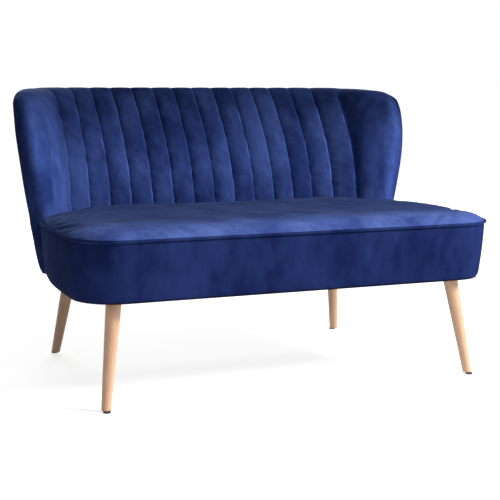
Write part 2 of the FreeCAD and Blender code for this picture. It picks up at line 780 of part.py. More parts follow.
wall_cuts = sorted(side * (back_half_width - inset) for inset in panel_insets for side in (-1, 1))
core = back_core.cut(pad_zone_clear).common(above_wall).common(foam_front)
core = core.common(box(-far, far, -far, far, 0, top_rail_z - ease))
core = core.cut(both_sides(wing_post_block))
save("back_core_foam", sliced(core, wall_cuts))

crest = back_filling.cut(pad_zone_clear).common(above_rail)
save("crest_padding", sliced(crest, wall_cuts))

skin = back_filling.cut(back_body(fabric + wadding, base_height - 2)).cut(pad_zone_clear)
skin = skin.common(below_rail)
save("outer_wadding", sliced(skin, wall_cuts))

covers = back_outside.cut(back_lining)
inner_cover = covers.common(pad_zone).common(above_wall)
save("inner_back_cover", solids(inner_cover, 1))
outer_cover = covers.cut(pad_zone_clear)
save("outer_back_cover", solids(outer_cover, 1))
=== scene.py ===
"""Looks of the two-seat channel-back sofa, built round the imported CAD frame.  Metres throughout."""
import math

import bmesh
import bpy
import numpy as np
from mathutils import Matrix, Vector
from mathutils.kdtree import KDTree


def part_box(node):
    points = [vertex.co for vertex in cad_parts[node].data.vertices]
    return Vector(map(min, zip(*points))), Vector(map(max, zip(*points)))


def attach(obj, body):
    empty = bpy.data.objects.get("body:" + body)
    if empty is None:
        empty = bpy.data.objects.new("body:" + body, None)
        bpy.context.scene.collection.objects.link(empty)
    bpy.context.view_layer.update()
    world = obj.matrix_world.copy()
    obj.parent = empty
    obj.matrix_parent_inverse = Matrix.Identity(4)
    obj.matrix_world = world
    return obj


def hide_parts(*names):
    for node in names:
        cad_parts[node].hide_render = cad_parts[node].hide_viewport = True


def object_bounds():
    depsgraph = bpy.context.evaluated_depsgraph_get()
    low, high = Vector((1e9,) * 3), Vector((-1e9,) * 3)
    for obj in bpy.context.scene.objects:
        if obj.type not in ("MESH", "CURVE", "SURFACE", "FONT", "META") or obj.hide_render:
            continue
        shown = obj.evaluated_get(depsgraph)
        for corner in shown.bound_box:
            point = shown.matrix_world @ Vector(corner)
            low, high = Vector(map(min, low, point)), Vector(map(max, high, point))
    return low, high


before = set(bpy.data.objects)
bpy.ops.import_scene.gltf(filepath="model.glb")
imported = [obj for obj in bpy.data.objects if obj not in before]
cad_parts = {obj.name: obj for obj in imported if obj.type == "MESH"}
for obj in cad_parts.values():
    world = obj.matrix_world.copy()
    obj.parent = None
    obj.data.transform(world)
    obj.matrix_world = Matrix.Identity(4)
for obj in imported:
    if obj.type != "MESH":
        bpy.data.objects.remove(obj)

cad_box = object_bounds()

# ---- Sizes read from the frame ----
piping_low, piping_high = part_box("seat_piping")
HALF_WIDTH = cad_box[1][0]  # centre to the widest point of a wing
REAR_Y = cad_box[1][1]
FRONT_Y = cad_box[0][1]
CREST_Z = cad_box[1][2]
BASE_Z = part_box("dust_cover")[1][2]
PIPING_Z = (piping_low[2] + piping_high[2]) / 2
PIPING_R = (piping_high[2] - piping_low[2]) / 2
CROWN_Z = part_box("seat_cover")[1][2]
RISE = CREST_Z - PIPING_Z  # seat height to crest

# ---- Shape of the back: t is 0 at the seat's piping and 1 at the crest ----
INNER_FACE_Y = REAR_Y - 0.218  # at seat height
LEAN = (0.047, 0.141)  # the inner face leans back by both, with t and t * t
RAKE = 0.064  # rear face, per unit of t
ROLL_Z = CREST_Z - 0.024  # the rear face is upright above this
WING_FRONT_Y = REAR_Y - 0.300
WING_SWEEP = 0.128  # how strongly the wing's front curves back
WING_SWEEP_FROM = 0.3  # above this t
WING_FLARE = 0.0335  # how much wider each wing is at the top than at the seat
WING_FLARE_CURVE = 1.4
WING_WIDEST = 0.70  # t above which the wings stay at their full width
WING_FOOT_TAPER = 0.125  # below the seat they draw in by this, with t * t
WING_EDGE_R = 0.042
WING_EDGE_THINS = 0.014  # its radius falls by this, with t * t
INNER_TURN = (30.0, 8.0, 16.0)  # degrees of the wing's inner face, with 1, t and t * t
LOW_INNER_TURN = 75.0  # the same for the thin wall beside the seat frame
OUTER_TURN = (105.0, 5.0)  # degrees of the wing's outer face, with 1 and t
HOLLOW_R = 0.300
CORNER_R = 0.150
LOW_WALL_R = 0.020  # half the wall's thickness beside the seat frame
LOW_WALL_Y = REAR_Y - 0.125
LOW_HOLLOW_R = 0.080
LOW_Z = (0.350, 0.425)  # the thin wall ends, the full depth starts
ARCH_Z = CREST_Z - 0.036  # foot of the rounded crest
TIP_DROP = 0.012  # the upper corner of a wing is rounded off: down,
TIP_PULL = 0.009  # back along the wing,
TIP_REACH = 0.085  # within this distance of the tip
TIP_Z = (CREST_Z - 0.075, CREST_Z - 0.010)  # and between these heights
WING_DROP = 0.006  # the crest falls a little from the last seam to the tip
WING_LENGTH = 0.24  # last seam to tip, along the crest
CHANNELS = 14
CHANNEL_PITCH = 0.0643
SEAM_DEPTH = 0.0090
PUFF_POWER = 4.2  # how flat the ridge of a channel is
PUCKER = 0.0010  # height of the velvet's gathers beside each seam
PUCKER_REACH = 0.009  # where they are highest, from the seam
SEAM_WANDER = 0.0008  # how far a stitched line strays sideways
SEAM_FADE = ((0, 0.3, 0.5, 1.0), (1.0, 0.55, 0.22, 0.0))  # seams run out over the crest
LAST_SEAM_X = CHANNELS / 2 * CHANNEL_PITCH

# Painted light and shade on the velvet, as a share of the velvet's own tone
SEAM_PAINTED_LIGHT = 1.3  # a painted light line on one side of a stitched line
SEAM_PAINTED_SHADE = 0.16  # and painted shade on the other
WING_PAINTED_LIGHT = 0.55  # lighter on the inner faces of the wings: painted light
EDGE_PAINTED_HIGHLIGHT = 1.15  # and lighter still on their rounded edges: a painted highlight

# ---- Shape of the seat ----
SEAT_HALF = HALF_WIDTH - 0.0065
SEAT_CORNER_R = 0.120
SIDE_TAPER = (0.035, 0.6)  # the sides close in with s and with s cubed
SIDE_DIP = 0.009  # the edge of the seat is drawn down beside the wings
BORDER_Y = FRONT_Y + 0.003
BORDER_SLOPE = 0.013  # how far the foot of the border is set in
BORDER_END_Y = WING_FRONT_Y + 0.018


def smooth(value):
    """0 below 0, 1 above 1, and an eased curve between."""
    value = np.clip(value, 0.0, 1.0)
    return value * value * (3 - 2 * value)


def mix(a, b, share):
    return a + (b - a) * share


TINY = 1e-9  # keeps a division by a length of nothing safe
MIRRORED = np.array((-1, 1))  # right to left, in plan


# ---- Back sections ----
def heading(angle):
    return np.array([math.cos(angle), math.sin(angle)])


def arc(centre, radius, start, end, count):
    """Points of an arc from one angle to another."""
    angles = np.linspace(start, end, count)[:, None]
    return centre + radius * np.hstack([np.cos(angles), np.sin(angles)])


def bend(before, point, after, radius, count=60):
    """Points of the arc that rounds a corner."""
    to_before = (before - point) / np.linalg.norm(before - point)
    to_after = (after - point) / np.linalg.norm(after - point)
    half = math.acos(float(np.dot(to_before, to_after))) / 2
    middle = (to_before + to_after) / np.linalg.norm(to_before + to_after)
    centre = point + middle * radius / math.sin(half)
    start = point + to_before * radius / math.tan(half) - centre
    end = point + to_after * radius / math.tan(half) - centre
    first = math.atan2(start[1], start[0])
    turn = (math.atan2(end[1], end[0]) - first + math.pi) % (2 * math.pi) - math.pi
    return arc(centre, radius, first, first + turn, count)


def meet(point, direction, y):
    """Where a line through point crosses a given y."""
    return point + direction * ((y - point[1]) / direction[1])


def section(z):
    """Right-hand half plan of the back at a height: inner face, wing edge and outer face."""
    t = (z - PIPING_Z) / RISE
    full = float(smooth((z - LOW_Z[0]) / (LOW_Z[1] - LOW_Z[0])))
    flare = max(0.0, 1 - max(0.0, t) / WING_WIDEST) ** WING_FLARE_CURVE
    extent = HALF_WIDTH - WING_FLARE * flare - WING_FOOT_TAPER * min(0.0, t) ** 2
    front = WING_FRONT_Y + WING_SWEEP * max(0.0, t - WING_SWEEP_FROM) ** 2
    radius = mix(LOW_WALL_R, WING_EDGE_R - WING_EDGE_THINS * t * t, full)
    inner_turn = INNER_TURN[0] + INNER_TURN[1] * t + INNER_TURN[2] * t * t
    inner_heading = math.radians(-mix(LOW_INNER_TURN, inner_turn, full))
    outer_heading = math.radians(OUTER_TURN[0] + OUTER_TURN[1] * max(t, 0.0))
    inner_y = mix(LOW_WALL_Y, INNER_FACE_Y + LEAN[0] * t + LEAN[1] * t * t, full)
    outer_y = REAR_Y - RAKE * max(0.0, ROLL_Z - z) / RISE
    centre = np.array([extent - radius, front + radius])
    edge = [angle - math.pi / 2 for angle in (inner_heading, outer_heading)]
    tip = (edge[0] + edge[1]) / 2
    wing_in = centre + radius * heading(edge[0])
    wing_out = centre + radius * heading(edge[1])
    hollow = meet(wing_in, heading(inner_heading), inner_y)
    rear = meet(wing_out, heading(outer_heading), outer_y)
    middle_in = np.array([0.0, inner_y])
    middle_out = np.array([0.0, outer_y])
    inner = np.vstack([middle_in, bend(middle_in, hollow, wing_in, mix(LOW_HOLLOW_R, HOLLOW_R, full)),
                       wing_in])
    outer = np.vstack([wing_out, bend(wing_out, rear, middle_out, CORNER_R), middle_out])
    return inner, (centre, radius, edge[0], tip, edge[1]), outer


def lengths(path):
    """Distance along a path to each of its points."""
    steps = np.linalg.norm(np.diff(path, axis=0), axis=1)
    return np.concatenate([[0.0], np.cumsum(steps)])


def along(path, places):
    """Points of a path at distances along it."""
    run = lengths(path)
    return np.stack([np.interp(places, run, path[:, axis]) for axis in range(path.shape[1])], axis=1)


# Places across one channel, closer together beside the seams
ACROSS = (0.0, 0.02, 0.05, 0.1, 0.18, 0.3, 0.43, 0.57, 0.7, 0.82, 0.9, 0.95, 0.98)
channel_x = [CHANNEL_PITCH * (i + share) for i in range(CHANNELS // 2) for share in ACROSS]
channel_x = np.array(channel_x + [LAST_SEAM_X])
WING_COLUMNS = 14  # last seam to wing edge
EDGE_COLUMNS = 12  # half of the wing's rounded edge
OUTER_SPREAD = 0.32  # the outer face's spare length is taken up within this
# Columns up to FLAT cross the channels, from there to EDGE the wing's face, and the rest its edge
FLAT = len(channel_x)
EDGE = FLAT + WING_COLUMNS
inner_count = EDGE + EDGE_COLUMNS


def columns(z):
    """Inner and outer points of the right-hand half at a height, from the middle to the wing tip."""
    inner, (centre, radius, start, tip, end), outer = section(z)
    channel_y = np.interp(channel_x, inner[:, 0], inner[:, 1])
    run = lengths(inner)
    seam_run = np.interp(LAST_SEAM_X, inner[:, 0], run)
    wing_run = np.linspace(seam_run, run[-1], WING_COLUMNS + 1)[1:]
    wing = along(inner, wing_run)
    half_edge = arc(centre, radius, start, tip, EDGE_COLUMNS + 1)[1:]
    inside = np.vstack([np.stack([channel_x, channel_y], axis=1), wing, half_edge])
    from_edge = run[-1] - np.concatenate([np.interp(channel_x, inner[:, 0], run), wing_run])
    outer_run = lengths(outer)
    spare = outer_run[-1] - run[-1]
    places = from_edge + spare * smooth(from_edge / OUTER_SPREAD)
    outside = np.vstack([along(outer, places), arc(centre, radius, end, tip, EDGE_COLUMNS + 1)[1:]])
    return inside, outside


def puff(x):
    """0 in a seam, 1 on the ridge of a channel."""
    share = np.mod(np.abs(x) / CHANNEL_PITCH, 1.0)
    return 1 - np.abs(2 * share - 1) ** PUFF_POWER


wing_share = np.linspace(0, 1, WING_COLUMNS + 1)[1:]  # 0 at the last seam, 1 at the wing's edge
WING_RISE = (2.2, 2.5)  # how soon, and how roundly, the wing pad rises from the seam
channel_drop = np.zeros(inner_count)  # how far each column lies below the ridges
channel_drop[:FLAT] = SEAM_DEPTH * (1 - puff(channel_x))
channel_drop[FLAT:EDGE] = SEAM_DEPTH * np.clip(1 - wing_share * WING_RISE[0], 0, 1) ** WING_RISE[1]

ROWS = 84  # rows of the faces, and of the rounded crest
ARCH_ROWS = 20
levels = np.linspace(BASE_Z, ARCH_Z, ROWS)
WING_FACE = 0.20  # last seam to the wing's edge, about
HALF_EDGE = 0.02  # and from there to the tip, about
tip_gap = np.ones(inner_count)  # distance of each column from the wing's tip; 1 is far
tip_gap[FLAT:EDGE] = WING_FACE * (1 - wing_share) + HALF_EDGE
tip_gap[EDGE:] = np.linspace(HALF_EDGE, 0, EDGE_COLUMNS + 1)[1:]
tip_near = np.clip(1 - tip_gap / TIP_REACH, 0, 1) ** 2
BACK_ALONG = np.array((-0.6, 0.8))  # plan direction from the wing's edge back along the wing


def round_corner(points):
    """Draws the upper corner of the wing down and back along the wing.  Points by row and column."""
    height = np.clip((points[..., 2] - TIP_Z[0]) / (TIP_Z[1] - TIP_Z[0]), 0, 1.1) ** 2
    amount = height * tip_near
    points = points.copy()
    points[..., :2] += TIP_PULL * BACK_ALONG * amount[..., None]
    points[..., 2] -= TIP_DROP * amount
    points[..., 2] -= WING_DROP * height * smooth(1 - tip_gap / WING_LENGTH)
    return points


def at_height(points, z):
    return np.hstack([points, np.full((len(points), 1), z)])


# The seam nearest to each column, counted from the middle, and the seeded waves beside and along it
seam_number = np.round(channel_x / CHANNEL_PITCH).astype(int)
seam_gap = np.abs(channel_x / CHANNEL_PITCH - seam_number) * CHANNEL_PITCH
seam_flank = (channel_x / CHANNEL_PITCH > seam_number).astype(int)
pucker_width = seam_gap / PUCKER_REACH * np.exp(1 - seam_gap / PUCKER_REACH)
PUCKER_WAVES = (0.021, 0.034, 0.055, 0.120)  # lengths of the waves
WANDER_WAVES = (0.046, 0.083, 0.150)
WANDER_SUM = 1.7  # what the wander waves add up to, about
WANDER_REACH = 0.012  # the velvet beside a seam strays with it
pucker_phase = np.random.default_rng(7).uniform(0, 2 * math.pi, (2, CHANNELS, 2, len(PUCKER_WAVES)))
wander_phase = np.random.default_rng(11).uniform(0, 2 * math.pi, (2, CHANNELS, len(WANDER_WAVES)))


def pucker(z, side):
    """Small gathers of the velvet beside each seam, different for every seam."""
    values = np.zeros(inner_count)
    for wave, length in enumerate(PUCKER_WAVES):
        phase = pucker_phase[(side + 1) // 2, seam_number, seam_flank, wave]
        values[:FLAT] += np.sin(2 * math.pi * z / length + phase) / len(PUCKER_WAVES) ** 0.5
    values[:FLAT] *= PUCKER * pucker_width
    return values


def wander(z, side):
    """How far the stitched lines stray sideways; the middle one runs straight."""
    values = np.zeros(inner_count)
    for wave, length in enumerate(WANDER_WAVES):
        phase = wander_phase[(side + 1) // 2, seam_number, wave]
        values[:FLAT] += np.sin(2 * math.pi * z / length + phase)
    values[:FLAT] *= SEAM_WANDER * np.exp(-seam_gap / WANDER_REACH) * (seam_number > 0) / WANDER_SUM
    return values


SLOPE_STEP = 0.004  # slopes are taken over this much height


def half_rows(side):
    """Inner and outer points, row by row, of one half of the back, laid out on the right."""
    inner_rows = []
    outer_rows = []
    for z in levels:
        inside, outside = columns(z)
        lean = (inside - columns(z - SLOPE_STEP)[0])[:, 1] / SLOPE_STEP
        steep = np.hypot(1.0, lean)
        drop = channel_drop + pucker(z, side)
        inside = at_height(inside, z)
        inside[:, 0] += wander(z, side)
        inside[:, 1] += drop / steep
        inside[:, 2] -= drop * lean / steep
        inner_rows.append(inside)
        outer_rows.append(at_height(outside, z))
    return np.array(inner_rows), np.array(outer_rows)


REAR_LEAN_SHARE = 0.5  # the crest follows the rear face's slope only in part
FULL_CHORD = 0.033  # half thickness from which the crest has its full height
ARCH_POWER = (2.0, 1.2)  # 2 is an ellipse; thicker walls add up to the second value
THICK_WALL = (0.02, 0.03)  # from this half thickness, over this much more


def crest(inner_rows, outer_rows, side):
    """The rounded crest: one arch from each inner column to its outer column."""
    flat_in, flat_out = columns(ARCH_Z)
    below_in, below_out = columns(ARCH_Z - SLOPE_STEP)
    slope_in = (flat_in - below_in) / SLOPE_STEP
    slope_out = (flat_out - below_out) / SLOPE_STEP * REAR_LEAN_SHARE
    half_chord = np.linalg.norm(flat_in - flat_out, axis=1) / 2
    dome = 1 - (1 - np.clip(half_chord / FULL_CHORD, 0, 1)) ** 2
    power = ARCH_POWER[0] + ARCH_POWER[1] * smooth((half_chord - THICK_WALL[0]) / THICK_WALL[1])
    start = at_height(flat_in, ARCH_Z)
    end = at_height(flat_out, ARCH_Z)
    arch = []
    for angle in np.linspace(0, math.pi, ARCH_ROWS + 1):
        across = -np.sign(math.cos(angle)) * abs(math.cos(angle)) ** (2 / power)
        height = (CREST_Z - ARCH_Z) * dome * math.sin(angle) ** (2 / power)
        share = ((1 + across) / 2)[:, None]
        row = start * (1 - share) + end * share
        row[:, :2] += (slope_in * (1 - share) + slope_out * share) * height[:, None]
        row[:, 2] += height
        arch.append(row)
    arch = np.array(arch)
    tangent = np.gradient(arch, axis=0)
    inward = np.stack([np.zeros_like(tangent[:, :, 0]), tangent[:, :, 2], -tangent[:, :, 1]], axis=2)
    inward /= np.maximum(np.linalg.norm(inward, axis=2, keepdims=True), TINY)
    fade = np.interp(np.linspace(0, 1, ARCH_ROWS + 1), SEAM_FADE[0], SEAM_FADE[1])
    drop = channel_drop + pucker(ARCH_Z, side)
    arch += inward * (drop[None, :, None] * fade[:, None, None])
    arch[:, :, 0] += wander(ARCH_Z, side)[None, :] * fade[:, None]
    arch[0] = inner_rows[-1]
    arch[-1] = outer_rows[-1]
    return arch


# ---- Meshes ----
MERGE = 1e-5  # points closer than this become one
SLIVER = 1e-7  # and faces thinner than this are dropped


def add_mesh(name, points, faces, pile_and_painted_light=()):
    """A smooth mesh object.  Its last argument holds the painted light and shade of the velvet at each point.
    """
    mesh = bpy.data.meshes.new(name)
    mesh.from_pydata([tuple(p) for p in points], [], faces)
    if len(pile_and_painted_light):
        # The velvet's painted light and shade, kept on the mesh for its material
        mesh.attributes.new("pile_and_painted_light", "FLOAT", "POINT").data.foreach_set("value", np.array(pile_and_painted_light, np.float32))
    mesh.update()
    piece = bpy.data.objects.new(name, mesh)
    bpy.context.scene.collection.objects.link(piece)
    work = bmesh.new()
    work.from_mesh(mesh)
    bmesh.ops.remove_doubles(work, verts=work.verts, dist=MERGE)
    bmesh.ops.dissolve_degenerate(work, edges=work.edges, dist=SLIVER)
    bmesh.ops.recalc_face_normals(work, faces=work.faces)
    work.to_mesh(mesh)
    work.free()
    for polygon in mesh.polygons:
        polygon.use_smooth = True
    return piece


def grid_faces(rows, cols, first=0, closed=False):
    """Four-sided faces between the points of a grid, whose columns may close into a ring."""
    faces = []
    last = cols if closed else cols - 1
    for r in range(rows - 1):
        for c in range(last):
            a = first + r * cols + c
            b = first + r * cols + (c + 1) % cols
            faces.append((a, b, b + cols, a + cols))
    return faces


def shell(piece, thickness, levels_of_subdivision=1):
    """Gives a sheet its thickness, inwards, and smooths it."""
    solid = piece.modifiers.new("thickness", "SOLIDIFY")
    solid.thickness = thickness
    solid.offset = -1
    solid.edge_crease_outer = 1
    solid.edge_crease_inner = 1
    solid.edge_crease_rim = 1
    if levels_of_subdivision:
        subdivision = piece.modifiers.new("smooth", "SUBSURF")
        subdivision.levels = levels_of_subdivision
        subdivision.render_levels = levels_of_subdivision


class Patch:
    """Grids of one piece, gathered into one mesh."""

    def __init__(self):
        self.points = []
        self.faces = []
        self.pile_and_painted_light = []

    def add(self, grid, pile_and_painted_light=0.0):
        rows, cols = grid.shape[:2]
        self.faces += grid_faces(rows, cols, len(self.points))
        self.points += [tuple(p) for p in grid.reshape(-1, 3)]
        self.pile_and_painted_light += list(np.broadcast_to(pile_and_painted_light, (rows, cols)).reshape(-1))

    def build(self, name):
        return add_mesh(name, self.points, self.faces, self.pile_and_painted_light)


BEHIND_SEAT = 0.022  # how far the inner face goes down behind the seat pad
INNER_FOOT = int(np.searchsorted(levels, PIPING_Z - BEHIND_SEAT))
WING_IN_COLUMN = EDGE - 1  # where the wing's face meets its rounded edge
SEAM_COLUMN = EDGE - 4  # the outer panel's side seam
REAR_SEAM_ROW = ROWS - 4  # and its upper seam, just under the crest
SEAM_TUCK = (0.0030, 0.0006)  # how deep these seams are, and the points beside them
HEM = (0.006, 0.002, 0.0)  # the foot of the back is turned in, row by row,
EDGE_HEM = (0.006, 0.003, 0.001)  # and along the wing at its rounded edge


def hemmed(rows, other):
    """The lowest rows of a face, turned in; at the wing's edge they go back along the wing."""
    rows = rows.copy()
    for row, (face_hem, edge_hem) in enumerate(zip(HEM, EDGE_HEM)):
        inward = other[row] - rows[row]
        inward[:, 2] = 0
        inward /= np.maximum(np.linalg.norm(inward, axis=1, keepdims=True), TINY)
        inward *= face_hem
        inward[WING_IN_COLUMN + 1:, :2] = BACK_ALONG * edge_hem
        rows[row] += inward
    return rows


def tucked(outer_rows, inner_rows):
    """The outer face with its seams drawn in towards the inner face."""
    inward = inner_rows - outer_rows
    inward[..., 2] = 0
    inward /= np.maximum(np.linalg.norm(inward, axis=2, keepdims=True), TINY)
    depth = np.zeros(outer_rows.shape[:2])
    for amount, reach in ((SEAM_TUCK[1], 1), (SEAM_TUCK[0], 0)):
        depth[REAR_SEAM_ROW - reach:REAR_SEAM_ROW + reach + 1, :SEAM_COLUMN + 1] = amount
        depth[:REAR_SEAM_ROW + 1, SEAM_COLUMN - reach:SEAM_COLUMN + reach + 1] = amount
    return outer_rows + inward * depth[..., None]


# Painted light and shade beside the seams and on the wings
PAINTED_LIGHT_LINE = (0.0016, 0.0017)  # how far left of a seam the painted light line lies, and its width
PAINTED_LIGHT_VARIES = (0.65, 0.35, 0.083)  # mean and swing of its strength, and the length of the swing
PAINTED_SHADE_FROM = 0.0005  # the painted shade starts here
PAINTED_SHADE_REACH = 0.013  # and fades over this distance
WING_PAINTED_SHADE_SHARE = 0.1  # or over this share of the wing
WING_PAINTED_LIGHT_SPREAD = 1.6  # the wing reaches its full painted light in 1 / this of its width


def painted_light_of_columns(side, z):
    """Painted light left of each stitched line, painted shade right of it, and painted light on the wing's
    face and edge.
    """
    values = np.zeros(inner_count)
    gap = side * (channel_x - seam_number * CHANNEL_PITCH)
    mean, swing, length = PAINTED_LIGHT_VARIES
    strength = mean + swing * np.sin(2 * math.pi * z / length + wander_phase[(side + 1) // 2, seam_number, 0])
    light = SEAM_PAINTED_LIGHT * np.exp(-((gap + PAINTED_LIGHT_LINE[0]) / PAINTED_LIGHT_LINE[1]) ** 2) * strength
    shade = SEAM_PAINTED_SHADE * np.exp(-np.clip(gap, 0, None) / PAINTED_SHADE_REACH) * (gap > PAINTED_SHADE_FROM)
    values[:FLAT] = light - shade
    values[FLAT:EDGE] = WING_PAINTED_LIGHT * smooth(wing_share * WING_PAINTED_LIGHT_SPREAD)
    if side > 0:
        values[FLAT:EDGE] -= SEAM_PAINTED_SHADE * np.exp(-wing_share / WING_PAINTED_SHADE_SHARE)
    round_edge = np.linspace(0, 1, EDGE_COLUMNS + 1)[1:]
    values[EDGE:] = np.interp(round_edge, (0, 0.5, 1), (WING_PAINTED_LIGHT, EDGE_PAINTED_HIGHLIGHT, 0))
    return values


inner_patch = Patch()
outer_patch = Patch()
stitched = []  # points of the seams, held fast while the padding swells
for side in (1, -1):  # the right half, then the left
    flip = np.array([side, 1, 1])
    inner_rows, outer_rows = half_rows(side)
    arch = round_corner(crest(inner_rows, outer_rows, side))
    inner_rows = round_corner(inner_rows)
    outer_rows = tucked(round_corner(outer_rows), inner_rows)
    inner_rows, outer_rows = hemmed(inner_rows, outer_rows), hemmed(outer_rows, inner_rows)
    # Painted light and shade of every row, fading out over the crest
    pile_and_painted_light = np.array([painted_light_of_columns(side, z) for z in levels])
    fading = (1 - np.linspace(0, 1, ARCH_ROWS + 1)[:, None]) ** 2
    arch_painted_light = pile_and_painted_light[-1][None, :] * fading
    face = (slice(INNER_FOOT, None), slice(0, WING_IN_COLUMN + 1))
    inner_patch.add(inner_rows[face] * flip, pile_and_painted_light[face])
    inner_patch.add(inner_rows[:, WING_IN_COLUMN:] * flip, pile_and_painted_light[:, WING_IN_COLUMN:])
    inner_patch.add(outer_rows[:, SEAM_COLUMN:] * flip)
    inner_patch.add(arch * flip, arch_painted_light)
    inner_patch.add(outer_rows[REAR_SEAM_ROW:, :SEAM_COLUMN + 1] * flip)
    outer_patch.add(outer_rows[:REAR_SEAM_ROW + 1, :SEAM_COLUMN + 1] * flip)
    seams = inner_rows[INNER_FOOT:, :FLAT:len(ACROSS)] * flip
    stitched.append(seams.reshape(-1, 3))


SIM_FRAMES = 20
SIM_QUALITY = 6
CLOTH_MASS = 0.25


def points_of(piece):
    """The points of an object's mesh."""
    return np.array([v.co[:] for v in piece.data.vertices])


def inflate(piece, held, pressure, cap, slack):
    """Swells a padded piece with a cloth simulation; no point moves further than cap.

    held marks the points that stay where they are, and slack is how much longer the cloth may grow.
    """
    scene = bpy.context.scene
    work = piece.copy()
    work.data = piece.data.copy()
    work.modifiers.clear()
    scene.collection.objects.link(work)
    group = work.vertex_groups.new(name="held")
    group.add([int(i) for i in np.flatnonzero(held)], 1.0, "REPLACE")
    cloth_mod = work.modifiers.new("cloth", "CLOTH")
    cloth_mod.point_cache.frame_start = 1
    cloth_mod.point_cache.frame_end = SIM_FRAMES
    settings = cloth_mod.settings
    settings.quality = SIM_QUALITY
    settings.mass = CLOTH_MASS
    settings.use_pressure = True
    settings.uniform_pressure_force = pressure
    settings.vertex_group_mass = "held"
    settings.shrink_min = -slack
    settings.effector_weights.gravity = 0
    for number in range(1, SIM_FRAMES + 1):
        scene.frame_set(number)
    before = points_of(piece)
    move = points_of(work.evaluated_get(bpy.context.evaluated_depsgraph_get())) - before
    size = np.linalg.norm(move, axis=1, keepdims=True)
    move *= cap * np.tanh(size / cap) / np.maximum(size, TINY)
    piece.data.vertices.foreach_set("co", (before + move).astype(np.float32).reshape(-1))
    piece.data.update()
    bpy.data.objects.remove(work, do_unlink=True)
    scene.frame_set(1)


def near(piece, places, reach):
    """Which points of a piece lie within reach of any of the places."""
    tree = KDTree(len(places))
    for i, place in enumerate(places):
        tree.insert(place, i)
    tree.balance()
    return np.array([tree.find(v.co)[2] < reach for v in piece.data.vertices])


# Only the channelled face swells, between its stitched lines and inside these limits
STITCH_REACH = 0.0035
SWELLS_Z = (PIPING_Z - 0.004, ARCH_Z + 0.012)
SWELLS_X = LAST_SEAM_X + 0.11
SWELLS_Y = REAR_Y - 0.12
INNER_COVER = 0.006  # thickness of the two covers with what they are lined with
OUTER_COVER = 0.005
back_inner = inner_patch.build("back_inner_velvet")
x, y, z = points_of(back_inner).T
back_held = near(back_inner, np.vstack(stitched), STITCH_REACH)
back_held |= (z < SWELLS_Z[0]) | (z > SWELLS_Z[1]) | (np.abs(x) > SWELLS_X) | (y > SWELLS_Y)
inflate(back_inner, back_held, pressure=3.0, cap=0.0030, slack=0.006)
shell(back_inner, INNER_COVER)
back_outer = outer_patch.build("back_outer_velvet")
shell(back_outer, OUTER_COVER)


# ---- Seat ----
SIDE_DIP_Y = (-0.12, 0.21)  # the dip starts here and is full after this much more
CORNER_POINTS = 28
SIDE_POINTS = 30
FRONT_POINTS = 40  # from a corner to the middle


def seat_half_width(y):
    behind = max(0.0, y - BORDER_Y - SEAT_CORNER_R)
    return SEAT_HALF - SIDE_TAPER[0] * behind - SIDE_TAPER[1] * behind ** 3


def side_dip(y):
    return -SIDE_DIP * smooth((y - SIDE_DIP_Y[0]) / SIDE_DIP_Y[1])


def seat_path(inset, end_y=BORDER_END_Y):
    """Plan of the seat's edge, from the left wing round the front to the right wing."""
    front = BORDER_Y + inset
    centre = np.array([SEAT_HALF - SEAT_CORNER_R, BORDER_Y + SEAT_CORNER_R])
    corner = arc(centre, SEAT_CORNER_R - inset, 0.0, -math.pi / 2, CORNER_POINTS)
    middle = np.array([0.0, front])
    side_y = np.linspace(end_y, centre[1], SIDE_POINTS)[:-1]
    side = np.array([(seat_half_width(y) - inset, y) for y in side_y])
    front_run = np.linspace(corner[-1], middle, FRONT_POINTS)[1:]
    right = np.vstack([side, corner, front_run])
    left = right[:-1] * MIRRORED
    return np.vstack([left, right[::-1]])


# Rows of the border: height above its foot or below its top, and how far it is tucked in
BORDER_FOOT = ((0.0, 0.016), (0.0, 0.010), (0.0005, 0.0055), (0.002, 0.0025), (0.006, 0.0005))
BORDER_TOP = ((0.0020, 0.0004), (0.0006, 0.0018), (0.0, 0.0045), (0.0, 0.010))
BORDER_MIDDLE = np.linspace(0.08, 0.93, 14)  # shares of its height
BORDER_SWELL = 0.0022  # it is padded out by this, half way up
BORDER_COVER = 0.004
border_height = PIPING_Z - PIPING_R - BASE_Z
border = []
for rise, tuck in BORDER_FOOT:
    border.append((BASE_Z + rise, tuck))
for share in BORDER_MIDDLE:
    border.append((BASE_Z + border_height * share, -BORDER_SWELL * math.sin(math.pi * share)))
for below, tuck in BORDER_TOP:
    border.append((BASE_Z + border_height - below, tuck))
border_grid = []
for z, inset in border:
    drop = (PIPING_Z - z) / (PIPING_Z - BASE_Z)
    ring = at_height(seat_path(BORDER_SLOPE * drop + inset), z)
    ring[:, 2] += side_dip(ring[:, 1]) * (1 - drop)
    border_grid.append(ring)
border_patch = Patch()
border_patch.add(np.array(border_grid))
seat_border = border_patch.build("seat_border_velvet")
shell(seat_border, BORDER_COVER)


def tube(name, path, radius, sides=14):
    """A round cord along a path of points."""
    path = np.array(path)
    tangents = np.gradient(path, axis=0)
    tangents /= np.linalg.norm(tangents, axis=1, keepdims=True)
    up = np.array([0.0, 0.0, 1.0])
    across = np.cross(tangents, up)
    across /= np.linalg.norm(across, axis=1, keepdims=True)
    over = np.cross(across, tangents)
    rings = []
    for k in range(sides):
        angle = 2 * math.pi * k / sides
        rings.append(path + radius * (across * math.cos(angle) + over * math.sin(angle)))
    grid = np.array(rings).transpose(1, 0, 2)
    points = grid.reshape(-1, 3)
    faces = grid_faces(len(path), sides, closed=True)
    faces.append(tuple(range(sides)))
    faces.append(tuple(range((len(path) - 1) * sides, len(path) * sides)))
    return add_mesh(name, points, faces)


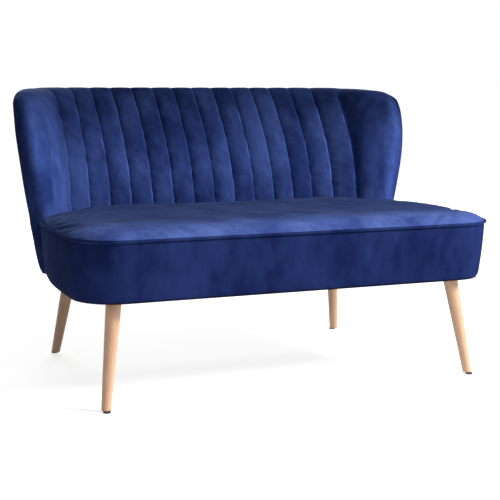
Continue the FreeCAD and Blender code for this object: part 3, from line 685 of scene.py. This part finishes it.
PIPING_OUT = 0.0010  # the piping stands proud of the seat's edge
PIPING_LONGER = 0.004  # and runs this much further than the border
piping_path = at_height(seat_path(-PIPING_OUT, BORDER_END_Y + PIPING_LONGER), PIPING_Z)
piping_path[:, 2] += side_dip(piping_path[:, 1])
piping = tube("seat_piping_cord", piping_path, PIPING_R)


def eased(count):
    """Shares from 0 to 1, closer together at both ends."""
    return (1 - np.cos(np.linspace(0, math.pi, count))) / 2


def coons(front, rear, left, right):
    """A grid of plan points inside four edges.  Front and rear run left to right, the others to the back."""
    u = np.linspace(0, 1, len(front))[None, :, None]
    v = np.linspace(0, 1, len(left))[:, None, None]
    across = (1 - v) * front[None] + v * rear[None]
    along_y = (1 - u) * left[:, None] + u * right[:, None]
    flat = ((1 - u) * (1 - v) * front[0] + u * (1 - v) * front[-1]
            + (1 - u) * v * rear[0] + u * v * rear[-1])
    return across + along_y - flat


def distance(points, path):
    """Least distance from each plan point to a path."""
    best = np.full(points.shape[:-1], np.inf)
    for a, b in zip(path[:-1], path[1:]):
        run = b - a
        share = np.clip(((points - a) @ run) / max(run @ run, 1e-12), 0, 1)
        best = np.minimum(best, np.linalg.norm(points - a - share[..., None] * run, axis=-1))
    return best


SEAT_INSET = 0.0015  # the pad's edge, in from the border's
SEAT_END_Y = WING_FRONT_Y + 0.012
SEAT_REAR_TUCK = 0.008  # the pad's rear edge is pushed into the back
REAR_START = 0.004  # it starts this far from the wing's edge
REAR_POINTS = 80
SEAT_COLUMNS = 150
SEAT_ROWS = 80
CROWN_FOOT = 0.0025  # the rim lies this much above the piping's middle
CROWN_REACH = 0.085  # the pad rises to its full height within this
CROWN_POWER = 3.4
REAR_SINK = (0.009, 0.016)  # how far it is drawn down at the back, and over what distance
DIP_REACH = 0.05  # the dips beside the wings fade over this
PAD_DEPTH = 0.008  # the hidden underside, below the piping's middle
HELD_RISE = 0.001  # everything up to this much above the rim is held while the pad swells
edge = seat_path(SEAT_INSET, SEAT_END_Y)
inner, _, _ = section(PIPING_Z)
hidden = along(inner, np.linspace(lengths(inner)[-1] - REAR_START, 0, REAR_POINTS))
hidden[:, 1] += SEAT_REAR_TUCK
rear_edge = np.vstack([edge[0], hidden * MIRRORED, hidden[-2::-1], edge[-1]])
bounds_run = lengths(edge)
left_end = bounds_run[np.argmin(edge[:, 1] + edge[:, 0])]  # the grid's corners are half way round the curves
right_end = bounds_run[-1] - left_end
row_share = eased(SEAT_ROWS)
column_share = eased(SEAT_COLUMNS)
left_edge = along(edge, left_end * (1 - row_share))
right_edge = along(edge, right_end + (bounds_run[-1] - right_end) * row_share)
front_edge = along(edge, left_end + (right_end - left_end) * column_share)
back_edge = along(rear_edge, lengths(rear_edge)[-1] * column_share)
plan_grid = coons(front_edge, back_edge, left_edge, right_edge)
edge_gap = distance(plan_grid, edge)
rear_gap = distance(plan_grid, rear_edge[1:-1])
crown_share = 1 - (1 - np.clip(edge_gap / CROWN_REACH, 0, 1)) ** CROWN_POWER
dip = side_dip(plan_grid[..., 1]) * np.exp(-edge_gap / DIP_REACH)
top_z = PIPING_Z + CROWN_FOOT + (CROWN_Z - PIPING_Z - CROWN_FOOT) * crown_share
top_z -= REAR_SINK[0] * np.exp(-((rear_gap - SEAT_REAR_TUCK) / REAR_SINK[1])) * crown_share
top_z += dip
bottom_z = PIPING_Z - PAD_DEPTH + dip
rim = np.zeros(top_z.shape, bool)
rim[0] = rim[-1] = True
rim[:, 0] = rim[:, -1] = True
bottom_z[rim] = top_z[rim]
seat_patch = Patch()
seat_patch.add(np.dstack([plan_grid, top_z]))
seat_patch.add(np.dstack([plan_grid, bottom_z])[:, ::-1])
seat_pad = seat_patch.build("seat_pad_velvet")
seat_held = points_of(seat_pad)[:, 2] < PIPING_Z + CROWN_FOOT + HELD_RISE
inflate(seat_pad, seat_held, pressure=4.0, cap=0.006, slack=0.012)


# ---- Dust cover ----
DUST_INSET = 0.004
DUST_THICK = 0.001
DUST_SHELL = DUST_THICK * 0.9  # a little thinner than its place, so that it clears the rails
DUST_SAG = 0.0035
DUST_COLUMNS = 120
DUST_ROWS = 60
LEG_CLEAR = 0.030  # it lies tight round each leg, and sags again
LEG_FADE = 0.12  # over this distance
EDGE_FADE = 0.16  # and over this one from its stapled edge
INSET_FADE = 0.1  # its inset from the back's foot grows over this distance from the wings and the middle
REAR_CORNER_X = -0.40  # where its rear edge turns into the left one
SIDE_SAMPLES = 200
LEG_END = 0.002  # points this near the end of a leg give its middle
dust_front = seat_path(BORDER_SLOPE + DUST_INSET, WING_FRONT_Y)
foot_outer = section(BASE_Z)[2]
foot_outer = foot_outer - np.array([DUST_INSET, 0]) * smooth(foot_outer[:, :1] / INSET_FADE)
foot_outer[:, 1] -= DUST_INSET * smooth((foot_outer[:, 1] - WING_FRONT_Y) / INSET_FADE)
rear_line = np.vstack([foot_outer * MIRRORED, foot_outer[-2::-1]])
rear_run = lengths(rear_line)
split = rear_run[np.argmax(rear_line[:, 0] > REAR_CORNER_X)]
dust_rear = along(rear_line, np.linspace(split, rear_run[-1] - split, DUST_COLUMNS))
left_rear = along(rear_line, np.linspace(0, split, SIDE_SAMPLES))
front_lengths = lengths(dust_front)
turn = front_lengths[np.argmin(dust_front[:, 0] + dust_front[:, 1])]
dust_left = np.vstack([along(dust_front, np.linspace(turn, 0, SIDE_SAMPLES)), left_rear])
dust_left = along(dust_left, np.linspace(0, lengths(dust_left)[-1], DUST_ROWS))
dust_right = dust_left * MIRRORED
dust_edge = along(dust_front, np.linspace(turn, front_lengths[-1] - turn, DUST_COLUMNS))
dust_plan = coons(dust_edge, dust_rear, dust_left, dust_right)
dust_outline = np.vstack([dust_edge, dust_right[1:], dust_rear[-2::-1], dust_left[-2::-1]])
sag = smooth(distance(dust_plan, dust_outline) / EDGE_FADE)
LEGS = ("leg_front_left", "leg_front_right", "leg_rear_left", "leg_rear_right")
for name in LEGS:
    points = points_of(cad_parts[name])
    middle = points[points[:, 2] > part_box(name)[1][2] - LEG_END].mean(axis=0)[:2]
    sag *= smooth((np.linalg.norm(dust_plan - middle, axis=-1) - LEG_CLEAR) / LEG_FADE)
dust_patch = Patch()
dust_patch.add(np.dstack([dust_plan, BASE_Z - DUST_THICK - DUST_SAG * sag]))
dust_cover = dust_patch.build("dust_cover_cloth")
shell(dust_cover, DUST_SHELL, 0)


# ---- Materials ----
class Nodes:
    """Adds nodes to a material or a world and links them.  Inputs go by name or number."""

    def __init__(self, owner):
        owner.use_nodes = True
        self.tree = owner.node_tree

    def put(self, value, socket):
        """Links an output to a socket, or sets a plain value on it."""
        if isinstance(value, bpy.types.NodeSocket):
            self.tree.links.new(value, socket)
        else:
            socket.default_value = value

    def add(self, kind, inputs=None, **settings):
        """A new node, with its own settings and its inputs."""
        node = self.tree.nodes.new("ShaderNode" + kind)
        for name, value in settings.items():
            setattr(node, name, value)
        for name, value in (inputs or {}).items():
            self.put(value, node.inputs[name])
        return node

    def place(self):
        """Object coordinates, and their x, y and z."""
        place = self.add("TexCoord").outputs["Object"]
        return place, self.add("SeparateXYZ", {0: place}).outputs

    def stretched(self, place, scale, rotation=(0, 0, 0)):
        """Coordinates turned first, then stretched."""
        turned = self.add("Mapping", {"Vector": place, "Rotation": rotation}).outputs["Vector"]
        return self.add("Mapping", {"Vector": turned, "Scale": scale}).outputs["Vector"]

    def noise(self, vector, scale, detail, roughness):
        inputs = {"Vector": vector, "Scale": scale, "Detail": detail, "Roughness": roughness}
        return self.add("TexNoise", inputs).outputs["Fac"]

    def ramp(self, value, dark_at, dark, light_at, light):
        node = self.add("ValToRGB", {"Fac": value})
        for element, at, colour in zip(node.color_ramp.elements, (dark_at, light_at), (dark, light)):
            element.position = at
            element.color = (*colour, 1)
        return node.outputs["Color"]

    def math(self, operation, *values):
        return self.add("Math", dict(enumerate(values)), operation=operation).outputs[0]

    def map_range(self, value, low, high, to_low, to_high):
        inputs = {"Value": value, "From Min": low, "From Max": high, "To Min": to_low, "To Max": to_high}
        return self.add("MapRange", inputs, interpolation_type="SMOOTHSTEP").outputs["Result"]

    def seen(self):
        """1 for rays from the camera and from gloss, 0 for the rays that light the scene."""
        path = self.add("LightPath").outputs
        return self.math("MAXIMUM", path["Is Camera Ray"], path["Is Glossy Ray"])


class Finish(Nodes):
    """The nodes of a new material, round its shader."""

    def __init__(self, name, colour, roughness):
        self.material = bpy.data.materials.new(name)
        super().__init__(self.material)
        self.shader = self.tree.nodes["Principled BSDF"]
        self.set("Base Color", (*colour, 1))
        self.set("Roughness", roughness)

    def set(self, name, value):
        self.put(value, self.shader.inputs[name])

    def bump(self, height, strength, distance, before=None):
        """Bumps on the surface, on top of the ones before."""
        node = self.add("Bump", {"Height": height, "Strength": strength, "Distance": distance})
        if before:
            self.put(before, node.inputs["Normal"])
        self.set("Normal", node.outputs["Normal"])
        return node.outputs["Normal"]


LIE_SHARES = (0.68, 0.32)  # of broad patches and of brush marks in the lie of the nap
LIE_RANGE = (0.39, 0.62)  # lies that show the dark and the light tone
PANEL_SHIFT = 0.045  # how much the lie differs from channel to channel, at most
SHEEN_BLUE = (0.30, 0.46, 1.0, 1)


def velvet(name, dark, light, axis="Z", span=(0.0, 1.0), painted_tones=(1.0, 1.0), panels=False, sheen=0.08):
    """Short-nap velvet.  The lie of the nap changes its tone in patches; a painted light-and-shade gradient
    along one axis lightens or darkens it with place.
    """
    finish = Finish(name, light, roughness=0.8)
    place, parts = finish.place()
    broad = finish.noise(finish.stretched(place, (1.0, 1.0, 0.55)), scale=9.0, detail=3.0, roughness=0.55)
    brushed = finish.noise(finish.stretched(place, (1.0, 1.0, 0.35)), scale=46.0, detail=5.0, roughness=0.65)
    lie = finish.math("ADD", finish.math("MULTIPLY", broad, LIE_SHARES[0]),
                      finish.math("MULTIPLY", brushed, LIE_SHARES[1]))
    if panels:
        number = finish.math("FLOOR", finish.math("DIVIDE", parts["X"], CHANNEL_PITCH))
        chance = finish.add("TexWhiteNoise", noise_dimensions="1D")
        finish.put(number, chance.inputs["W"])
        shift = finish.map_range(chance.outputs["Value"], 0, 1, -PANEL_SHIFT, PANEL_SHIFT)
        lie = finish.math("ADD", lie, shift)
    colour = finish.ramp(lie, LIE_RANGE[0], dark, LIE_RANGE[1], light)
    # Painted light and shade: the tone changes along one axis
    tone = finish.map_range(parts[axis], span[0], span[1], painted_tones[0], painted_tones[1])
    # The painted light and shade kept on the mesh lightens or darkens the tone
    painted_light_here = finish.add("Attribute", attribute_name="pile_and_painted_light").outputs["Fac"]
    tone = finish.math("MULTIPLY", tone, finish.math("ADD", painted_light_here, 1.0))
    toned = finish.add("VectorMath", operation="SCALE")
    finish.put(colour, toned.inputs[0])
    finish.put(tone, toned.inputs["Scale"])
    finish.set("Base Color", toned.outputs[0])
    # Fine bumps of the nap; they add no colour
    pile_and_painted_light = finish.noise(place, scale=1100.0, detail=2.0, roughness=0.6)
    soft = finish.bump(brushed, strength=0.35, distance=0.0016)
    finish.bump(pile_and_painted_light, strength=0.22, distance=0.0005, before=soft)
    finish.set("Sheen Weight", sheen)
    finish.set("Sheen Roughness", 0.32)
    finish.set("Sheen Tint", SHEEN_BLUE)
    finish.set("Specular IOR Level", 0.01)
    return finish.material


def wood(name, dark, light, grain_scale, rotation=(0, 0, 0), coat=0.0):
    """Grain that runs along z, turned by rotation."""
    finish = Finish(name, light, roughness=0.42)
    place, _ = finish.place()

    def streaks(across, lengthways, scale, detail, roughness):
        drawn_out = finish.stretched(place, (across, across, lengthways), rotation)
        return finish.noise(drawn_out, scale, detail, roughness)

    fine = streaks(grain_scale, 3.0, scale=3.0, detail=6.0, roughness=0.65)
    rings = streaks(28.0, 1.6, scale=1.3, detail=3.0, roughness=0.5)
    flecks = streaks(420.0, 42.0, scale=1.0, detail=2.0, roughness=0.5)
    grain = finish.math("ADD", finish.math("MULTIPLY", fine, 0.5), finish.math("MULTIPLY", rings, 0.5))
    speckle = finish.map_range(flecks, 0.60, 0.72, 0.0, -0.07)
    grain = finish.math("ADD", grain, speckle)
    finish.set("Base Color", finish.ramp(grain, 0.36, dark, 0.62, light))
    finish.set("Roughness", finish.map_range(fine, 0.3, 0.7, 0.52, 0.38))
    finish.bump(fine, strength=0.15, distance=0.0005)
    if coat:
        finish.set("Coat Weight", coat)
        finish.set("Coat Roughness", 0.3)
    return finish.material


def metal(name, colour, roughness):
    """Plated or blued steel, a little worn."""
    finish = Finish(name, colour, roughness)
    finish.set("Metallic", 1.0)
    place, _ = finish.place()
    worn = finish.noise(place, scale=160.0, detail=4.0, roughness=0.6)
    finish.set("Roughness", finish.map_range(worn, 0.3, 0.7, roughness - 0.08, roughness + 0.12))
    darker = tuple(0.75 * value for value in colour)
    finish.set("Base Color", finish.ramp(worn, 0.35, darker, 0.6, colour))
    finish.bump(worn, strength=0.08, distance=0.0003)
    return finish.material


def porous(name, dark, light, scale, roughness=0.9):
    """Foam, felt, non-woven cloth and moulded plastic: a fine, pitted surface."""
    finish = Finish(name, light, roughness)
    place, _ = finish.place()
    cells = finish.add("TexVoronoi", {"Vector": place, "Scale": scale}).outputs["Distance"]
    tone = finish.noise(place, scale / 6, detail=4.0, roughness=0.6)
    finish.set("Base Color", finish.ramp(tone, 0.35, dark, 0.65, light))
    finish.bump(cells, strength=0.35, distance=0.0006)
    return finish.material


WAVE_REPEAT = 0.314  # a wave texture of scale 1 repeats after this


def woven(name, dark, light, pitch):
    """Two sets of threads that cross."""
    finish = Finish(name, light, roughness=0.8)
    place, _ = finish.place()
    threads = []
    for direction in ("X", "Z"):
        inputs = {"Vector": place, "Scale": WAVE_REPEAT / pitch, "Distortion": 0.4}
        threads.append(finish.add("TexWave", inputs, bands_direction=direction).outputs["Fac"])
    weave = finish.math("MULTIPLY", *threads)
    finish.set("Base Color", finish.ramp(weave, 0.2, dark, 0.8, light))
    finish.bump(weave, strength=0.3, distance=0.0006)
    return finish.material


def finish_piece(piece, mat, *nodes, slot="velvet"):
    """A piece's material, and the CAD nodes it stands for; slot is not used."""
    piece.data.materials.clear()
    piece.data.materials.append(mat)
    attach(piece, "root")
    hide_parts(*nodes)


# Each panel has its own colours: the darker copies of the velvet on the outer back, the border and the piping
# are painted shade
# The back is painted darker towards the crest: painted shade
back_velvet = velvet("velvet_back", (0.012, 0.023, 0.098), (0.033, 0.058, 0.196), "Z",
                     (CREST_Z - 0.24, CREST_Z), (1.05, 0.46), panels=True, sheen=0.18)
outer_velvet = velvet("velvet_outer", (0.009, 0.017, 0.074), (0.015, 0.028, 0.110), sheen=0.06)
border_velvet = velvet("velvet_border", (0.007, 0.0135, 0.068), (0.0175, 0.031, 0.125))
# The seat is painted lighter towards its front edge and darker behind: a painted highlight and painted shade
seat_velvet = velvet("velvet_seat", (0.016, 0.028, 0.104), (0.037, 0.058, 0.168), "Y",
                     (FRONT_Y, FRONT_Y + 0.21), (2.45, 0.80), sheen=0.14)
piping_velvet = velvet("velvet_piping", (0.008, 0.016, 0.074), (0.020, 0.036, 0.134))

finish_piece(back_inner, back_velvet, "inner_back_cover", "back_channel_pads", "wing_pad_left",
             "wing_pad_right", "crest_padding", "back_core_foam")
finish_piece(back_outer, outer_velvet, "outer_back_cover", "outer_wadding")
finish_piece(seat_border, border_velvet, "seat_border_cover", "seat_border_padding")
finish_piece(piping, piping_velvet, "seat_piping")
finish_piece(seat_pad, seat_velvet, "seat_cover", "seat_foam")

LEG_DARK = np.array((0.55, 0.31, 0.18))
LEG_LIGHT = np.array((0.82, 0.52, 0.335))
REAR_LEG_PAINTED_SHADE = 0.88  # the rear pair is darker: painted shade from under the sofa


def leg_turn(node):
    """The turn that brings a leg's own axis to z, from the middles of its two ends."""
    points = points_of(node)
    low = points[points[:, 2] < points[:, 2].min() + LEG_END].mean(axis=0)
    high = points[points[:, 2] > points[:, 2].max() - LEG_END].mean(axis=0)
    return Vector(high - low).rotation_difference(Vector((0, 0, 1))).to_euler()


pine = wood("frame_pine", (0.42, 0.27, 0.13), (0.66, 0.47, 0.27), grain_scale=60.0)
black = porous("glide_black", (0.010, 0.010, 0.011), (0.018, 0.018, 0.019), 700.0, 0.5)
cloth = porous("dust_cloth", (0.012, 0.012, 0.013), (0.024, 0.024, 0.026), 900.0, 0.95)
zinc = metal("zinc_steel", (0.60, 0.61, 0.63), 0.34)
spring = metal("spring_steel", (0.20, 0.20, 0.21), 0.42)
foam = porous("foam_cream", (0.62, 0.55, 0.36), (0.74, 0.68, 0.48), 500.0)
felt = porous("felt_grey", (0.10, 0.10, 0.10), (0.22, 0.21, 0.20), 420.0)
webbing = woven("webbing_black", (0.03, 0.03, 0.033), (0.17, 0.17, 0.18), 0.004)

finish_piece(dust_cover, cloth, "dust_cover", slot="dust_cloth")

# A CAD node gets the first of these that is in its name; the frame's own parts are pine
BY_NAME = (
    ("foot_pad_nails", zinc), ("foot_pads", black), ("bolt", zinc), ("tee_nuts", zinc), ("clips", zinc),
    ("springs", spring), ("felt", felt), ("webbing", webbing), ("foam", foam), ("pad", foam),
    ("wadding", foam), ("cover", cloth), ("piping", cloth),
)


def node_material(name, node):
    if name in LEGS:
        # The rear legs are darkened: painted shade
        tone = REAR_LEG_PAINTED_SHADE if "rear" in name else 1.0
        dark, light = tuple(LEG_DARK * tone), tuple(LEG_LIGHT * tone)
        return wood(name + "_beech", dark, light, grain_scale=150.0, rotation=leg_turn(node), coat=0.15)
    for part_of_name, chosen in BY_NAME:
        if part_of_name in name:
            return chosen
    return pine


for name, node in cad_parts.items():
    chosen = node_material(name, node)
    if not node.material_slots:
        node.data.materials.append(chosen)
    for material_slot in node.material_slots:
        material_slot.material = chosen


# ---- Camera: metres, and millimetres for the lens ----
CAMERA_PLACE = Vector((-1.502, -3.290, 0.862))
YAW = math.radians(24.906)
PITCH = math.radians(-8.517)
ROLL = math.radians(0.720)
FOCAL = 93.6
FILM = 36.0
look = Vector((math.sin(YAW) * math.cos(PITCH), math.cos(YAW) * math.cos(PITCH), math.sin(PITCH)))
level_right = Vector((math.cos(YAW), -math.sin(YAW), 0))
level_up = level_right.cross(look)
right = math.cos(ROLL) * level_right + math.sin(ROLL) * level_up
up = -math.sin(ROLL) * level_right + math.cos(ROLL) * level_up
camera_data = bpy.data.cameras.new("camera")
camera_data.lens = FOCAL
camera_data.sensor_width = FILM
camera_data.clip_end = 100.0
camera = bpy.data.objects.new("camera", camera_data)
bpy.context.scene.collection.objects.link(camera)
camera.matrix_world = Matrix((
    (right.x, up.x, -look.x, CAMERA_PLACE.x),
    (right.y, up.y, -look.y, CAMERA_PLACE.y),
    (right.z, up.z, -look.z, CAMERA_PLACE.z),
    (0, 0, 0, 1)))
bpy.context.scene.camera = camera


# ---- Floor, world and lamps ----
FLOOR_HALF = 30.0
FLOOR_COLOUR = (0.85, 0.85, 0.85, 1)
GLOW_PLACES = (0.9, 2.6)  # the floor looks whiter with distance from the sofa, between these
GLOW = (0.70, 1.0)
WORLD_LIGHT = 0.12
floor_plan = [(-1, -1, 0), (1, -1, 0), (1, 1, 0), (-1, 1, 0)]
floor = add_mesh("floor", np.array(floor_plan) * FLOOR_HALF, [(0, 1, 2, 3)])
floor_white = bpy.data.materials.new("floor_white")
ground = Nodes(floor_white)
ground.tree.nodes.clear()
_, floor_parts = ground.place()
far_x = ground.math("ABSOLUTE", floor_parts["X"])
far_y = ground.math("ABSOLUTE", floor_parts["Y"])
far = ground.map_range(ground.math("MAXIMUM", far_x, far_y), *GLOW_PLACES, *GLOW)
matte = ground.add("BsdfDiffuse", {"Color": FLOOR_COLOUR})
glow = ground.add("Emission", {"Strength": ground.math("MULTIPLY", ground.seen(), far)})
both = ground.add("AddShader", {0: matte.outputs[0], 1: glow.outputs[0]})
ground.add("OutputMaterial", {"Surface": both.outputs[0]})
floor.data.materials.append(floor_white)

world = bpy.data.worlds.new("studio")
bpy.context.scene.world = world
sky = Nodes(world)
background = sky.tree.nodes["Background"]
sky.put((1, 1, 1, 1), background.inputs["Color"])
sky.put(sky.map_range(sky.seen(), 0, 1, WORLD_LIGHT, 1.0), background.inputs["Strength"])


LAMP_TARGET = Vector((0, 0, 0.4))


def lamp(name, place, size, power):
    """A soft rectangular lamp that shines at the sofa."""
    data = bpy.data.lights.new(name, "AREA")
    data.shape = "RECTANGLE"
    data.size = size[0]
    data.size_y = size[1]
    data.energy = power
    piece = bpy.data.objects.new(name, data)
    bpy.context.scene.collection.objects.link(piece)
    piece.location = place
    piece.rotation_euler = (LAMP_TARGET - Vector(place)).to_track_quat("-Z", "Y").to_euler()


lamp("key_right", (2.9, -2.5, 2.8), size=(1.2, 1.2), power=240)
lamp("fill_front", (-0.3, -3.8, 1.9), size=(1.8, 1.8), power=38)
lamp("rim_back", (0.5, 3.0, 2.2), size=(2.4, 1.6), power=50)

bpy.context.scene.view_settings.view_transform = "Standard"
